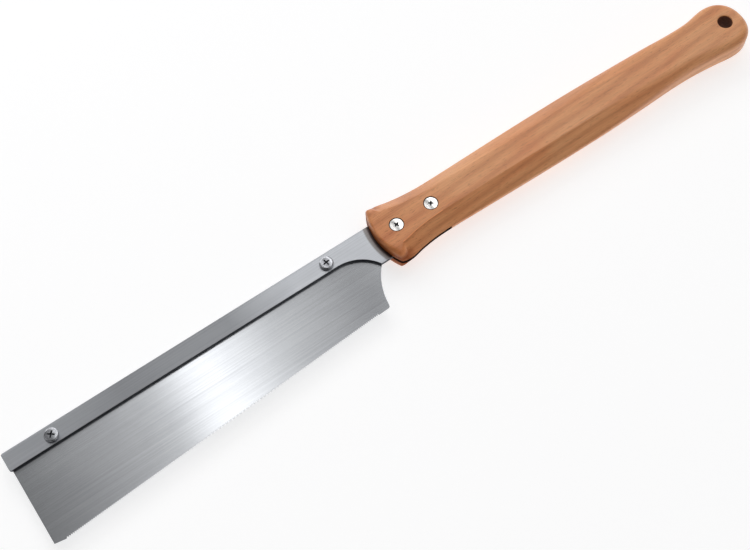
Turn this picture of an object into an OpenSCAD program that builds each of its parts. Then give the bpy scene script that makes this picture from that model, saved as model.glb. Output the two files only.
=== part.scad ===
// Hand saw for fine joinery: a stiff steel back plate whose tang sits in a
// kerf cut into a one-piece wooden handle, and a thin replaceable blade
// clamped behind the plate by two machine screws.
// The model is in millimetres and lies flat on the rear face of its handle:
// +X runs from the toe to the end of the handle, -Y is the toothed edge and
// +Z is the face with the screw heads. The origin is the centre of the
// bounding box's bottom face.

/* [Back plate] */
// Width of the stiffening spine along the blade
spine_w = 13; // [11:0.5:20]
// Thickness of the plate
plate_t = 2.5; // [2:0.1:3]
// Width of the tang where it enters the handle
tang_w = 27.3; // [24:0.1:28]
// Radius of the fillet between the spine and the tang
fillet_r = 27.6; // [22:0.1:30]
// Distance from the toe of the spine to the start of the fillet
fillet_start = 230.3; // [220:0.1:232]
// Chamfer along the back edge of the plate
edge_chamfer = 0.8; // [0.2:0.1:1]
// How far the spine stands past the toe of the blade
toe_overhang = 1.4; // [0.5:0.1:3]

/* [Blade] */
// Thickness of the blade
blade_t = 0.6; // [0.4:0.05:1]
// Depth from the back edge of the spine to the first tooth
toe_depth = 66.3; // [55:0.1:75]
// Depth from the back edge of the spine to the last tooth
heel_depth = 54.6; // [48:0.1:56]
// Length of the row of teeth
toothed_l = 223.75; // [200:1.25:223.75]
// Spacing of the teeth
tooth_pitch = 1.25; // [1.25:0.25:2.5]
// Height of the teeth
tooth_h = 1.3; // [0.5:0.1:1.5]
// Radius of the hollow heel edge
heel_r = 46; // [40:0.5:60]

/* [Handle] */
// Length from the nose to the end of the handle
handle_l = 300.3; // [296:0.1:320]
// Thickness of the handle
handle_t = 19; // [18:0.5:22]
// Distance from the back edge of the spine down to the handle's axis
axis_drop = 13.2; // [13:0.1:14]
// Radius of the hanging hole
hang_r = 5; // [3:0.5:6]
// Clearance between the tang and each side of the kerf
kerf_gap = 0.2; // [0.05:0.05:0.3]
// Radius of the circular cutter that makes the kerf
kerf_r = 55; // [50:1:80]

/* [Fasteners] */
// Diameter of the clamp screws
clamp_d = 5; // [4:0.5:5]
// Diameter of the pan heads of the clamp screws
pan_d = 9.2; // [8.5:0.1:10]
// Height of the pan heads
pan_h = 2.4; // [2:0.1:3.5]
// Diameter of the handle screws
screw_d = 4; // [3:0.5:4]
// Diameter of the flush heads in the handle
flush_d = 8.8; // [8.5:0.1:9.4]
// Outer diameter of the sleeve nuts in the handle
sleeve_d = 5.6; // [5.4:0.1:6]

/* [Hidden] */
$fn = 64;

// Places along the saw, measured from the toe end of the spine.
nose_x = 260.7;
overall_l = nose_x + handle_l;
clamp_x = [30.8, 226];
handle_screw_x = [275.5, 302];
hang_x = 545.9;

// Places across the saw, measured up from the back edge of the spine.
clamp_y = -7.5;
handle_screw_y = -13.7;
hang_y = -15.4;
kerf_end = 308.9;
tang_end = 307.5;

// Heights above the rear face of the handle.
mid_z = handle_t / 2;
plate_z = mid_z - plate_t / 2;
plate_top = plate_z + plate_t;
blade_z = plate_z - blade_t;

// Handle outline: distance from the nose, then the half widths towards the
// back edge and towards the belly.
grip = [
    [11.3, 21.8, 21.8], [22, 19.8, 19.9], [32, 18.4, 18.7], [44, 17.6, 18.3],
    [70, 17.7, 18.8], [105, 18.2, 19.5], [140, 18.4, 20.1], [170, 18.2, 20.1],
    [200, 17.1, 19.1], [230, 15.5, 17.7], [248, 14.3, 17.8], [265, 14.4, 19.2],
    [281.3, 16.7, 20.9]
];
grip_start = grip[0][0];
grip_end = grip[len(grip) - 1][0];
flare_w = grip[0][1];
bulb_centre = (grip[len(grip) - 1][1] - grip[len(grip) - 1][2]) / 2;
bulb_half = (grip[len(grip) - 1][1] + grip[len(grip) - 1][2]) / 2;
nose_base_r = 44.3;
nose_base_half = 19.8;
nose_face_r = 17.5;
nose_face_angle = 50;
nose_face_x = 1.8;

// The bounding box runs from the flared nose down to the first tooth.
flare_rise = flare_w - axis_drop;
y_mid = (toe_depth - flare_rise) / 2;

// Bevel between the rim of the handle and its flat faces. Its section goes
// from a flat facet (roundness 1) through a quarter ellipse (roundness 2) to a
// squarer curve (roundness 3). The rim keeps an upright band on each side of
// the middle.
bevel_nose = 8.8;
bevel_grip = 10.6;
bevel_bulb = 6.5;
round_nose = 3;
round_grip = 1.12;
round_bulb = 2;
band_nose = 3.5;
band_grip = 1.5;
band_bulb = 3.5;

grip_steps = 22;
nose_steps = 5;
tail_steps = 16;
bevel_steps = 4;

function mix(a, b, k) = a + (b - a) * k;
function smooth(k) = let(c = min(1, max(0, k))) c * c * (3 - 2 * c);

// Height of the grip outline at distance x from the nose, by cubic pieces.
function slope(i, side) =
    let(a = max(0, i - 1), b = min(len(grip) - 1, i + 1))
    (i == 0 || i == len(grip) - 1) ? 0
    : (grip[b][side] - grip[a][side]) / (grip[b][0] - grip[a][0]);
function piece(x) = min(len(grip) - 2, len([for (g = grip) if (g[0] < x - 0.001) 1]) - 1);
function hermite(i, x, side) =
    let(w = grip[i + 1][0] - grip[i][0], k = (x - grip[i][0]) / w)
    (1 + 2 * k) * pow(1 - k, 2) * grip[i][side]
    + k * pow(1 - k, 2) * w * slope(i, side)
    + k * k * (3 - 2 * k) * grip[i + 1][side]
    + k * k * (k - 1) * w * slope(i + 1, side);
function half_width(x, side) = hermite(max(0, piece(x)), x, side);

function bevel_w(x) =
    x < 165 ? mix(bevel_nose, bevel_grip, smooth((x - 20) / 100))
    : mix(bevel_grip, bevel_bulb, smooth((x - 165) / 110));
function softening(x) = smooth((x - 150) / 110);
function roundness(x) = mix(round_grip, round_bulb, softening(x));
function band(x) = mix(band_grip, band_bulb, softening(x));

// One half of the rim, from the nose to the tail; side is 1 for the back edge
// and 2 for the belly. Each entry is [rim point, face point, roundness, band].
function nose_half() = [
    for (k = [1:nose_steps])
        let(y = nose_base_half * k / nose_steps, a = nose_face_angle * k / nose_steps)
        [
            [nose_base_r - sqrt(nose_base_r * nose_base_r - y * y), y],
            [nose_face_x + nose_face_r * (1 - cos(a)), nose_face_r * sin(a)],
            round_nose, band_nose
        ]
];
function corner_half() =
    let(
        face_y = flare_w - bevel_w(grip_start),
        soft = [for (k = [0.35, 0.7]) mix(round_nose, round_grip, k)],
        wide = [for (k = [0.35, 0.7]) mix(band_nose, band_grip, k)]
    )
    [
        [[6, 21.2], [8.6, nose_face_r * sin(nose_face_angle)], soft[0], wide[0]],
        [[8, 21.8], [9.6, face_y + 0.3], soft[1], wide[1]]
    ];
function grip_half(side) = [
    for (k = [0:grip_steps])
        let(x = mix(grip_start, grip_end, k / grip_steps), y = half_width(x, side))
        [[x, y], [x, y - bevel_w(x)], roundness(x), band(x)]
];
function flip(rows, s) = [
    for (r = rows) [[r[0][0], s * r[0][1]], [r[1][0], s * r[1][1]], r[2], r[3]]
];
function side_half(side, s) = flip(concat(nose_half(), corner_half(), grip_half(side)), s);
function squared(v) = sign(v) * pow(abs(v), 0.89);
function tail_arc() =
    let(l = handle_l - grip_end)
    [
        for (k = [1:tail_steps - 1])
            let(a = -90 + 180 * k / tail_steps, c = squared(cos(a)), s = squared(sin(a)))
            [
                [grip_end + l * c, bulb_centre + bulb_half * s],
                [grip_end + (l - bevel_bulb) * c, bulb_centre + (bulb_half - bevel_bulb) * s],
                round_bulb, band_bulb
            ]
    ];
function reversed(v) = [for (i = [len(v) - 1:-1:0]) v[i]];
function rim() = concat(
    [[[0, 0], [nose_face_x, 0], round_nose, band_nose]],
    side_half(2, -1), tail_arc(), reversed(side_half(1, 1))
);

// One closed ring of points around the handle: level j of the bevel on the
// rear side (s = -1) or the front side (s = 1).
function ring(rows, j, s) =
    let(a = 90 * j / bevel_steps)
    [
        for (r = rows)
            let(
                inset = j == bevel_steps ? 1 : 1 - pow(cos(a), 2 / r[2]),
                rise = j == bevel_steps ? 1 : pow(sin(a), 2 / r[2])
            )
            [
                mix(r[0][0], r[1][0], inset),
                mix(r[0][1], r[1][1], inset),
                s * mix(r[3], handle_t / 2, rise)
            ]
    ];

// Bench position: the toe end of the spine and its back edge to row frame.
module place() {
    translate([-overall_l / 2, y_mid, 0]) children();
}

module slab(z, t) {
    translate([0, 0, z]) linear_extrude(height = t) children();
}

module clamp_bores(r) {
    for (x = clamp_x) {
        translate([x, clamp_y, -1]) cylinder(r = r, h = handle_t + 2);
    }
}

module handle_bores(r) {
    for (x = handle_screw_x) {
        translate([x, handle_screw_y, -1]) cylinder(r = r, h = handle_t + 2);
    }
}

// The wooden blank before the kerf and the holes are cut.
module handle_blank() {
    rows = rim();
    n = len(rows);
    levels = 2 * bevel_steps + 1;
    points = [
        for (j = [bevel_steps:-1:0]) each ring(rows, j, -1),
        for (j = [0:bevel_steps]) each ring(rows, j, 1)
    ];
    walls = [
        for (j = [0:levels - 1])
            for (i = [0:n - 1])
                let(k = (i + 1) % n)
                each [
                    [j * n + i, (j + 1) * n + i, (j + 1) * n + k],
                    [j * n + i, (j + 1) * n + k, j * n + k]
                ]
    ];
    // Each flat face is a ladder of rungs from the belly side to the back side.
    rungs = [for (i = [0:n / 2 - 1]) [i, i + 1, n - i - 1, (n - i) % n]];
    halves = [for (r = rungs) each [[r[0], r[1], r[2]], [r[0], r[2], r[3]]]];
    flats = [for (t = halves) if (t[0] != t[2] && t[1] != t[2]) t];
    rear = flats;
    front = [for (t = flats) [levels * n + t[2], levels * n + t[1], levels * n + t[0]]];
    translate([nose_x, -axis_drop, mid_z]) polyhedron(points, concat(walls, rear, front));
}

// Bevels and clearances on the metal parts.
toe_chamfer = 0.9;
tang_round = 8;
bore_gap = 0.15;
thread_gap = 0.03;
barrel_gap = 0.1;
head_gap = 0.5;
flush_h = 2;
hang_chamfer = 0.8;

function arc(c, r, a, b, n) = [for (k = [0:n]) c + r * [cos(mix(a, b, k / n)), sin(mix(a, b, k / n))]];

// The lower corner where the fillet runs out into the edge of the tang.
fillet_centre = [fillet_start, -spine_w - fillet_r];
fillet_a = asin((spine_w + fillet_r - tang_w) / fillet_r);
tang_corner = fillet_centre + fillet_r * [cos(fillet_a), sin(fillet_a)];

// Stepped bore with a recess of radius wide and depth step at both faces.
module stepped_bore(r, wide, step) {
    rotate_extrude() polygon([
        [0, -1], [wide, -1], [wide, step], [r, step],
        [r, handle_t - step], [wide, handle_t - step], [wide, handle_t + 1], [0, handle_t + 1]
    ]);
}

// Bore with a 45 degree chamfer at both faces.
module chamfered_bore(r, c) {
    rotate_extrude() polygon([
        [0, -1], [r + c + 1, -1], [r, c], [r, handle_t - c],
        [r + c + 1, handle_t + 1], [0, handle_t + 1]
    ]);
}

module handle() {
    color([0.76, 0.5, 0.32])
    place()
    difference() {
        handle_blank();
        // Kerf for the tang, as deep as the circular cutter reaches.
        translate([kerf_end - kerf_r, -axis_drop, plate_z - kerf_gap])
            cylinder(r = kerf_r, h = plate_t + 2 * kerf_gap, $fn = 128);
        for (x = handle_screw_x) {
            translate([x, handle_screw_y, 0])
                stepped_bore(sleeve_d / 2 + barrel_gap, flush_d / 2 + head_gap, flush_h);
        }
        translate([hang_x, hang_y, 0]) chamfered_bore(hang_r, hang_chamfer);
    }
}

// Wedge that takes a 45 degree chamfer off the back edge of the plate.
module edge_wedge(z, s) {
    translate([-1, 0, z]) rotate([90, 0, 90]) linear_extrude(height = tang_end + 2)
        polygon([[1, 1 * s], [1, -s * edge_chamfer - s], [-edge_chamfer - 1, 1 * s]]);
}

module back_plate() {
    color([0.7, 0.72, 0.75])
    place()
    difference() {
        slab(plate_z, plate_t) polygon(concat(
            [[toe_chamfer, 0], [0, -1.5 * toe_chamfer]],
            [[0, toe_chamfer - spine_w], [toe_chamfer, -spine_w]],
            arc(fillet_centre, fillet_r, 90, fillet_a, 16),
            arc([tang_end - tang_round, tang_round - tang_w], tang_round, -90, 0, 6),
            arc([tang_end - tang_round, -tang_round], tang_round, 0, 90, 6)
        ));
        edge_wedge(plate_top, 1);
        edge_wedge(plate_z, -1);
        clamp_bores(clamp_d / 2 + bore_gap);
        handle_bores(sleeve_d / 2 + barrel_gap);
    }
}

// Toothed edge: a plain lead-in at the toe, then equal teeth up to the heel.
teeth_x = toe_overhang + 8.1;
blade_top = 2;
heel_flat = 9.3;
heel_round = 1.5;
function tooth_line(x) = -toe_depth + (toe_depth - heel_depth) * (x - teeth_x) / toothed_l;
function teeth() = [
    for (i = [0:round(toothed_l / tooth_pitch) - 1])
        let(x = teeth_x + i * tooth_pitch)
        each [
            [x, tooth_line(x) + tooth_h],
            [x + tooth_pitch / 2, tooth_line(x + tooth_pitch / 2)]
        ]
];

// Hollow heel edge: an arc of known radius from p to q, centred to the right.
function arc_between(p, q, r, n) =
    let(
        d = q - p, l = norm(d), m = (p + q) / 2,
        c = m + sqrt(r * r - l * l / 4) * [d[1], -d[0]] / l,
        a = atan2(p[1] - c[1], p[0] - c[0]), b = atan2(q[1] - c[1], q[0] - c[0]),
        sweep = b - a > 180 ? b - a - 360 : b - a < -180 ? b - a + 360 : b - a
    )
    [for (k = [0:n]) c + r * [cos(a + sweep * k / n), sin(a + sweep * k / n)]];

module saw_blade() {
    heel_x = teeth_x + toothed_l + heel_flat;
    heel_y = tooth_line(heel_x);
    color([0.78, 0.79, 0.8])
    place()
    difference() {
        slab(blade_z, blade_t) polygon(concat(
            [[toe_overhang, -blade_top], [toe_overhang, 1.4 - toe_depth]],
            [[toe_overhang + 7.2, 0.1 - toe_depth]],
            teeth(),
            [[teeth_x + toothed_l, tooth_line(teeth_x + toothed_l) + tooth_h]],
            [[teeth_x + toothed_l + tooth_pitch / 2, tooth_line(teeth_x + toothed_l)]],
            [[heel_x - heel_round, heel_y], [heel_x - 0.3 * heel_round, heel_y + 0.3 * heel_round]],
            arc_between([heel_x + 0.2, heel_y + heel_round], tang_corner, heel_r, 12),
            [[tang_corner[0], -blade_top - 3], [tang_corner[0] - 3, -blade_top]]
        ));
        clamp_bores(clamp_d / 2 + bore_gap);
    }
}

module cross_recess(x, y, top, span, depth) {
    wing_w = 1.1;
    for (a = [45, 135]) {
        translate([x, y, top - depth]) rotate([0, 0, a])
            translate([-span / 2, -wing_w / 2, 0]) cube([span, wing_w, depth + 1]);
    }
    translate([x, y, top - depth - 0.5]) cylinder(r1 = 0.4, r2 = 1.3, h = depth + 0.5);
}

// Pan head screw, washer and nut that hold the blade behind the plate.
washer_d = 10;
washer_t = 1;
nut_flats = 8;
nut_h = 4;
thread_end = 0.8;
recess_pan = 4.8;
recess_flush = 3.8;

module clamp_screw(x) {
    tail = blade_z - washer_t - nut_h - thread_end;
    edge = 1.1;
    color([0.86, 0.87, 0.88])
    place()
    difference() {
        translate([x, clamp_y, 0]) union() {
            translate([0, 0, plate_top]) rotate_extrude() polygon(concat(
                [[0, 0], [pan_d / 2, 0], [pan_d / 2, pan_h - 1.15 * edge]],
                arc([pan_d / 2 - edge, pan_h - 1.15 * edge], edge, 20, 70, 3),
                [[pan_d / 4, pan_h - 0.06], [0, pan_h]]
            ));
            translate([0, 0, tail + 0.4]) cylinder(d = clamp_d, h = plate_top - tail - 0.4);
            translate([0, 0, tail]) cylinder(d1 = clamp_d - 0.8, d2 = clamp_d, h = 0.4);
        }
        cross_recess(x, clamp_y, plate_top + pan_h, recess_pan, 1.7);
    }
}

module clamp_washer(x) {
    color([0.8, 0.81, 0.83])
    place()
    translate([x, clamp_y, blade_z - washer_t])
    difference() {
        cylinder(d = washer_d, h = washer_t);
        translate([0, 0, -1]) cylinder(r = clamp_d / 2 + bore_gap, h = washer_t + 2);
    }
}

module clamp_nut(x) {
    corner = nut_flats / cos(30) / 2;
    color([0.8, 0.81, 0.83])
    place()
    translate([x, clamp_y, blade_z - washer_t - nut_h])
    difference() {
        intersection() {
            cylinder(r = corner, h = nut_h, $fn = 6);
            rotate_extrude() polygon([
                [0, 0], [nut_flats / 2, 0], [corner + 0.01, 0.35],
                [corner + 0.01, nut_h - 0.35], [nut_flats / 2, nut_h], [0, nut_h]
            ]);
        }
        translate([0, 0, -1]) cylinder(r = clamp_d / 2 + thread_gap, h = nut_h + 2);
    }
}

// Flush handle screw from the front and its sleeve nut from the rear.
shank_end = 5;
sleeve_top = 14.5;
sleeve_floor = 4;
slot_w = 1.2;

module handle_screw(x) {
    color([0.88, 0.88, 0.88])
    place()
    difference() {
        translate([x, handle_screw_y, 0]) union() {
            translate([0, 0, handle_t - flush_h]) cylinder(d = flush_d, h = flush_h);
            translate([0, 0, shank_end]) cylinder(d = screw_d, h = handle_t - flush_h - shank_end);
        }
        cross_recess(x, handle_screw_y, handle_t, recess_flush, 1.2);
    }
}

module sleeve_nut(x) {
    color([0.85, 0.85, 0.86])
    place()
    translate([x, handle_screw_y, 0])
    difference() {
        union() {
            cylinder(d = flush_d, h = flush_h);
            cylinder(d = sleeve_d, h = sleeve_top);
        }
        translate([0, 0, sleeve_floor]) cylinder(r = screw_d / 2 + thread_gap, h = sleeve_top);
        translate([-flush_d, -slot_w / 2, -1]) cube([2 * flush_d, slot_w, 2]);
    }
}

handle();
back_plate();
saw_blade();
clamp_screw(clamp_x[0]);  // toe_clamp_screw
clamp_screw(clamp_x[1]);  // heel_clamp_screw
clamp_washer(clamp_x[0]);  // toe_clamp_washer
clamp_washer(clamp_x[1]);  // heel_clamp_washer
clamp_nut(clamp_x[0]);  // toe_clamp_nut
clamp_nut(clamp_x[1]);  // heel_clamp_nut
handle_screw(handle_screw_x[0]);  // front_handle_screw
handle_screw(handle_screw_x[1]);  // rear_handle_screw
sleeve_nut(handle_screw_x[0]);  // front_sleeve_nut
sleeve_nut(handle_screw_x[1]);  // rear_sleeve_nut
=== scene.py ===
import math

import bmesh
import bpy
from mathutils import Matrix, Vector


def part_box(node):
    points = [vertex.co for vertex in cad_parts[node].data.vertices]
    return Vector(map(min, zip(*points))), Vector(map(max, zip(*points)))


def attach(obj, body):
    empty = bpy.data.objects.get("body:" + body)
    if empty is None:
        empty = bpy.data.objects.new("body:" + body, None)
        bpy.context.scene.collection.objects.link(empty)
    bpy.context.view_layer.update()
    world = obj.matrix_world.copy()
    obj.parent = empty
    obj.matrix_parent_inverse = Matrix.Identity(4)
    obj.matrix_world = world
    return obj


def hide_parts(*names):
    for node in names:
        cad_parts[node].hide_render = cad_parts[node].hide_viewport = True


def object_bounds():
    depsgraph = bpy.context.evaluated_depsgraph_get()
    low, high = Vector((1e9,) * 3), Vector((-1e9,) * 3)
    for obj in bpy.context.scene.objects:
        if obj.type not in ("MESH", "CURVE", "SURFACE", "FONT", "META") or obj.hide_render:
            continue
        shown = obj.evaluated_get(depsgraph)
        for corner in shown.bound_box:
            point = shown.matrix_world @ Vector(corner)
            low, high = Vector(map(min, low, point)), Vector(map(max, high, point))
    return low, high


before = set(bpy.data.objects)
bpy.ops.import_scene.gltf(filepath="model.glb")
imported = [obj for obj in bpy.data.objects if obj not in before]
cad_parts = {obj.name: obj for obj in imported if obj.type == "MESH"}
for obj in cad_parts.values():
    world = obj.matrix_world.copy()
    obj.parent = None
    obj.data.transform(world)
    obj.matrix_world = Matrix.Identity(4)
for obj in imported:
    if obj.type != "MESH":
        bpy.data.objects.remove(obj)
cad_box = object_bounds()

# Lengths below are in millimetres in the bench frame: x from the toe end of
# the spine, y up from the spine's back edge, z up from the handle's rear face.
MM = 0.001
PLATE_LOW, PLATE_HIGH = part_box("back_plate")
BLADE_LOW, BLADE_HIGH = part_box("saw_blade")
HANDLE_LOW, HANDLE_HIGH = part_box("handle")
TOE_X = PLATE_LOW.x
BACK_Y = PLATE_HIGH.y
HANDLE_T = (HANDLE_HIGH.z - HANDLE_LOW.z) / MM
MID_Z = HANDLE_T / 2
PLATE_Z = PLATE_LOW.z / MM
PLATE_TOP = PLATE_HIGH.z / MM
BLADE_Z = BLADE_LOW.z / MM
BLADE_TOP = BLADE_HIGH.z / MM


def at(x, y, z):
    """A point of the bench frame, in metres in the row frame."""
    return Vector((TOE_X + x * MM, BACK_Y + y * MM, z * MM))


def bench_centre(node):
    """The middle of a CAD node seen from above, in the bench frame."""
    low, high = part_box(node)
    middle = (low + high) / 2
    return (middle.x - TOE_X) / MM, (middle.y - BACK_Y) / MM


def mix(a, b, k):
    return a + (b - a) * k


def ease(x, low, high):
    """Rises smoothly from 0 at low to 1 at high."""
    k = min(1.0, max(0.0, (x - low) / (high - low)))
    return k * k * (3 - 2 * k)


# ---------------------------------------------------------------- camera

CAMERA_PLACE = (-0.2023, -0.2880, 0.6926)
CAMERA_RIGHT = (0.8237, -0.5660, -0.0336)
CAMERA_FORWARD = (0.2220, 0.3764, -0.8995)
SENSOR_MM, LENS_MM = 36.0, 58.32


def make_camera():
    """The camera looks down on the front face from the toothed side, rolled
    so that the saw runs from the lower left to the upper right."""
    right = Vector(CAMERA_RIGHT)
    forward = Vector(CAMERA_FORWARD).normalized()
    up = right.cross(forward).normalized()
    right = forward.cross(up)
    data = bpy.data.cameras.new("camera")
    data.sensor_width = SENSOR_MM
    data.lens = LENS_MM
    data.clip_start = 0.01
    camera = bpy.data.objects.new("camera", data)
    turn = Matrix((right, up, -forward)).transposed()
    camera.matrix_world = Matrix.Translation(CAMERA_PLACE) @ turn.to_4x4()
    bpy.context.scene.collection.objects.link(camera)
    bpy.context.scene.camera = camera


# ---------------------------------------------------------------- mesh tools

# Points closer than this, in metres, are merged.
MERGE_M = 2e-7


def new_object(name, mesh):
    piece = bpy.data.objects.new(name, mesh)
    bpy.context.scene.collection.objects.link(piece)
    return piece


def mesh_from(name, points, faces):
    mesh = bpy.data.meshes.new(name)
    mesh.from_pydata([tuple(p) for p in points], [], faces)
    mesh.validate()
    return mesh


def clean(mesh):
    """Merges doubled points and turns every face outwards."""
    bm = bmesh.new()
    bm.from_mesh(mesh)
    bmesh.ops.remove_doubles(bm, verts=bm.verts, dist=MERGE_M)
    bmesh.ops.recalc_face_normals(bm, faces=bm.faces)
    bm.to_mesh(mesh)
    bm.free()


def solid(name, points, faces):
    """A closed piece, cleaned and linked into the scene."""
    mesh = mesh_from(name, points, faces)
    clean(mesh)
    return new_object(name, mesh)


def apply_modifiers(piece):
    graph = bpy.context.evaluated_depsgraph_get()
    done = bpy.data.meshes.new_from_object(piece.evaluated_get(graph))
    piece.modifiers.clear()
    piece.data = done


def carve(piece, cutters):
    """Cuts each cutter out of the piece, removes the cutters and cleans up."""
    for cutter in cutters:
        cut = piece.modifiers.new("cut", "BOOLEAN")
        cut.operation = "DIFFERENCE"
        cut.solver = "EXACT"
        cut.object = cutter
    apply_modifiers(piece)
    for cutter in cutters:
        bpy.data.objects.remove(cutter)
    clean(piece.data)


def soften(piece, width, angle):
    """Rounds the edges sharper than the angle by a small bevel."""
    bevel = piece.modifiers.new("soften", "BEVEL")
    bevel.width = width * MM
    bevel.segments = 2
    bevel.limit_method = "ANGLE"
    bevel.angle_limit = math.radians(angle)
    bevel.use_clamp_overlap = True
    apply_modifiers(piece)


def shade(piece, angle):
    """Shades the piece smooth across edges flatter than the angle."""
    piece.data.shade_smooth()
    piece.data.set_sharp_from_angle(angle=math.radians(angle))


def turned(section, x, y, steps, sides):
    """Points and side faces of a section of (radius, z) turned about the
    vertical axis through x, y; sides is how many of its sides get faces."""
    n = len(section)
    points, faces = [], []
    for k in range(steps):
        turn = 2 * math.pi * k / steps
        points += [at(x + r * math.cos(turn), y + r * math.sin(turn), z) for r, z in section]
        a, b = k * n, (k + 1) % steps * n
        for i in range(sides):
            j = (i + 1) % n
            faces.append((a + i, b + i, b + j, a + j))
    return points, faces


def revolve(name, profile, x, y, steps):
    """A solid turned from a profile that starts and ends on the axis."""
    inner = profile[1:-1]
    n = len(inner)
    points, faces = turned(inner, x, y, steps, n - 1)
    for end, row in ((profile[0], 0), (profile[-1], n - 1)):
        hub = len(points)
        points.append(at(x, y, end[1]))
        faces += [(hub, k * n + row, (k + 1) % steps * n + row) for k in range(steps)]
    return solid(name, points, faces)


def ring_solid(name, ring, x, y):
    """A ring turned from a closed section that stays clear of the axis."""
    return solid(name, *turned(ring, x, y, FASTENER_STEPS, len(ring)))


def prism(name, outline, low, high, x=0.0, y=0.0, turn=0.0, taper=1.0):
    """A prism over a closed outline, turned and moved; taper is the size of
    its low end against the high one."""
    c, s = math.cos(turn), math.sin(turn)
    points = []
    for z, k in ((low, taper), (high, 1.0)):
        for px, py in outline:
            points.append(at(x + k * (px * c - py * s), y + k * (px * s + py * c), z))
    n = len(outline)
    faces = [tuple(range(n - 1, -1, -1)), tuple(range(n, 2 * n))]
    faces += [(i, (i + 1) % n, n + (i + 1) % n, n + i) for i in range(n)]
    return solid(name, points, faces)


def arc(cx, cy, r, a, b, n):
    """Points of an arc from angle a to angle b in degrees."""
    turns = [math.radians(mix(a, b, k / n)) for k in range(n + 1)]
    return [(cx + r * math.cos(t), cy + r * math.sin(t)) for t in turns]


def hole(x, y, r):
    """A cutter for a round hole right through the saw."""
    return revolve("hole", [(0, -1), (r, -1), (r, HANDLE_T + 1), (0, HANDLE_T + 1)], x, y, 48)


def lengthwise_uv(piece):
    """A map whose first axis runs across the saw, for the grinding marks."""
    layer = piece.data.uv_layers.new(name="grind")
    for loop in piece.data.loops:
        spot = piece.data.vertices[loop.vertex_index].co
        layer.data[loop.index].uv = (spot.y + 0.3 * spot.z, spot.x)


def near(test):
    """Turns a test on bench coordinates into one on the centre of a face."""
    def passes(face):
        c = face.center
        return test((c.x - TOE_X) / MM, (c.y - BACK_Y) / MM, c.z / MM)

    return passes


# Sizes that more than one piece uses.
FASTENER_STEPS = 72
HANDLE_SCREWS = ("front_handle_screw", "rear_handle_screw")
CLAMP_SCREWS = ("toe_clamp_screw", "heel_clamp_screw")
CLAMP_HOLE_R, SCREW_HOLE_R = 2.65, 2.9


# ---------------------------------------------------------------- handle

NOSE_X = (HANDLE_LOW.x - TOE_X) / MM
HANDLE_L = (HANDLE_HIGH.x - HANDLE_LOW.x) / MM
AXIS_Y = -13.2
HANG_X, HANG_Y, HANG_R = 545.9, -15.4, 5.0
# Distance from the nose, half width towards the back edge and the belly.
GRIP = [
    (11.3, 21.8, 21.8), (22, 19.8, 19.9), (32, 18.4, 18.7), (44, 17.6, 18.3),
    (70, 17.7, 18.8), (105, 18.2, 19.5), (140, 18.4, 20.1), (170, 18.2, 20.1),
    (200, 17.1, 19.1), (230, 15.5, 17.7), (248, 14.3, 17.8), (265, 14.4, 19.2),
    (281.3, 16.7, 20.9),
]
BACK, BELLY = 1, 2
# How square the end of the bulb is: 1 is an ellipse, less is squarer.
BULB_POWER = 0.89
NOSE_BASE_R, NOSE_BASE_HALF = 44.3, 19.8
NOSE_FACE_R, NOSE_FACE_ANGLE, NOSE_FACE_X = 17.5, 50, 1.8
# The bevel is the width from rim to flat face, and the band is half the
# height of the upright part. Between them roundness 1 gives a flat bevel,
# 2 an ellipse and more a squarer curve.
BEVEL_NOSE, BEVEL_GRIP, BEVEL_BULB = 8.8, 10.6, 6.5
ROUND_NOSE, ROUND_GRIP, ROUND_BULB = 3.0, 1.07, 2.0
BAND_NOSE, BAND_GRIP, BAND_BULB = 3.5, 1.5, 3.5
# Where along the handle the bevel changes twice, and the section once.
BEVEL_WIDENS, BEVEL_NARROWS, SECTION_ROUNDS = (20, 120), (165, 275), (150, 260)
KERF_R, KERF_END, KERF_GAP = 55, 308.9, 0.2
RECESS_R, RECESS_H = 4.9, 2.0
HANG_FLARE = 0.8
# Where along the handle the painted highlight strip on the belly side's ridge starts and ends, and
# its width.
HIGHLIGHT_FROM, HIGHLIGHT_TO, HIGHLIGHT_W = 11.5, 44, 0.5
# How much leeway a face has when it is sorted by the wall it belongs to.
SKIN = 0.05
# How far inside the flat face's edge its first loop lies, as a share of the
# bevel's width, and the angle below which the handle's edges are shaded over.
FACE_LOOP, HANDLE_SHARP = 0.05, 52
GRIP_STEPS, NOSE_STEPS, CORNER_STEPS, TAIL_STEPS, BEVEL_STEPS = 130, 14, 8, 64, 14


def half_width(x, side):
    """Height of the grip's outline at x from the nose, by cubic pieces."""
    last = len(GRIP) - 1
    i = max(k for k in range(last) if k == 0 or GRIP[k][0] < x - 0.001)

    def slope(k):
        if k in (0, last):
            return 0.0
        return (GRIP[k + 1][side] - GRIP[k - 1][side]) / (GRIP[k + 1][0] - GRIP[k - 1][0])

    w = GRIP[i + 1][0] - GRIP[i][0]
    k = (x - GRIP[i][0]) / w
    return (
        (1 + 2 * k) * (1 - k) ** 2 * GRIP[i][side] + k * (1 - k) ** 2 * w * slope(i)
        + k * k * (3 - 2 * k) * GRIP[i + 1][side] + k * k * (k - 1) * w * slope(i + 1)
    )


def bevel_width(x):
    if x < BEVEL_NARROWS[0]:
        return mix(BEVEL_NOSE, BEVEL_GRIP, ease(x, *BEVEL_WIDENS))
    return mix(BEVEL_GRIP, BEVEL_BULB, ease(x, *BEVEL_NARROWS))


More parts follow.
